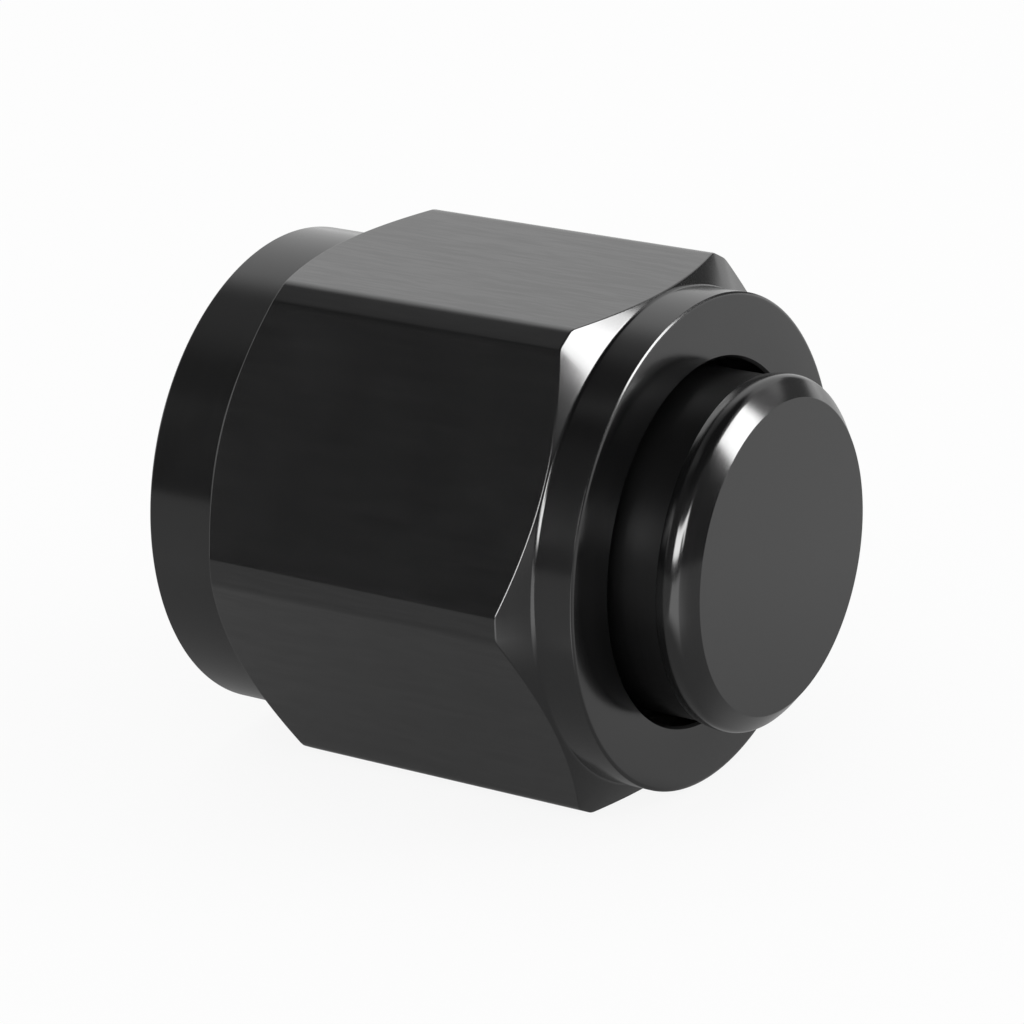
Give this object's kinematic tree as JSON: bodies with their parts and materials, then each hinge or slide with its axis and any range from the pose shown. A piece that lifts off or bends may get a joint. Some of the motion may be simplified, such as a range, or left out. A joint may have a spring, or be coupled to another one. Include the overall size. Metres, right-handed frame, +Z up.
{
  "type": "threaded protection cap",
  "caption": "Black anodised cap for a flared tube fitting: a hexagonal swivel nut with a female thread and a sealing plug that turns in it.",
  "frame": {"origin": "centre of the nut's open threaded mouth, on the cap's axis", "axes": "+X along the cap's axis from the threaded mouth towards the plug's head, +Z up, square to the flat of the hexagon that the cap lies on"},
  "size_m": [0.0295, 0.0288, 0.0254],
  "materials": {
    "anodised_nut": "black anodised, milled flats and turned ends, satin",
    "anodised_plug": "black anodised, fine turned, satin",
    "spring_steel": "drawn spring wire"
  },
  "bodies": {
    "nut": {"swivel_nut": "anodised_nut", "retaining_ring": "spring_steel"},
    "plug": {"sealing_plug": "anodised_plug"}
  },
  "joints": [
    {"name": "plug_swivel", "type": "hinge", "parent": "nut", "child": "plug", "pos_m": [0.02525, 0, 0], "axis": [1, 0, 0], "continuous": true}
  ]
}
